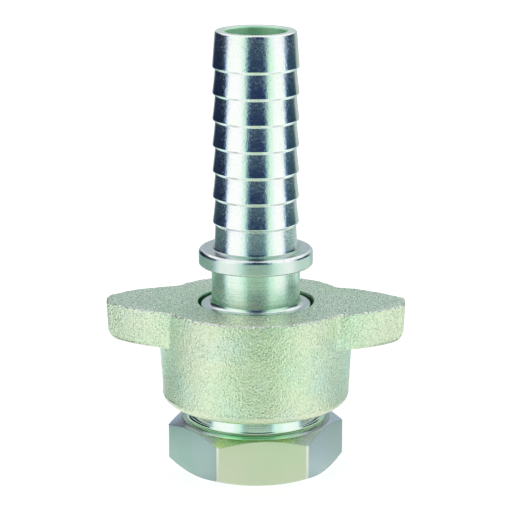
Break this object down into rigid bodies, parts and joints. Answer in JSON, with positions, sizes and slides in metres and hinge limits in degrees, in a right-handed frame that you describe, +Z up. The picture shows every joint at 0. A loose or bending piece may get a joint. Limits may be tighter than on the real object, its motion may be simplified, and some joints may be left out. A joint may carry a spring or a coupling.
{
  "type": "hose coupling",
  "caption": "Ground-joint hose coupling: a barbed hose stem clamped on a threaded hexagon spud by a two-lug wing nut.",
  "frame": {"origin": "centre of the hexagon's foot, on the axis of the pipe thread, where the coupling stands", "axes": "+Z up the common axis from the pipe thread to the hose tail; +X along the wing nut's two wings at rest; +Y across them"},
  "size_m": [0.0736, 0.0476, 0.1088],
  "materials": {
    "plated_spud": "machined steel, zinc plated with a greenish clear passivation, satin faces and bright turned surfaces",
    "seat_polymer": "off-white filled polymer, smooth moulded face",
    "plated_stem": "turned steel, zinc plated with a bluish green clear passivation, bright with fine turning lines",
    "blasted_nut": "shot-blasted forging, zinc plated with a yellowish green passivation, rough and matt"
  },
  "bodies": {
    "base": {"spud": "plated_spud", "seat_ring": "seat_polymer"},
    "stem": {"stem": "plated_stem"},
    "nut": {"wing_nut": "blasted_nut"}
  },
  "joints": [
    {"name": "stem_lift", "type": "slide", "parent": "base", "child": "stem", "axis": [0, 0, 1], "range_m": [0, 0.01225]},
    {"name": "nut_turn", "type": "hinge", "parent": "stem", "child": "nut", "pos_m": [0, 0, 0.03], "axis": [0, 0, 1], "range_deg": [0, 2070]}
  ],
  "couplings": [
    {"joint": "stem_lift", "follows": "nut_turn", "m_per_rad": 0.00033688}
  ]
}
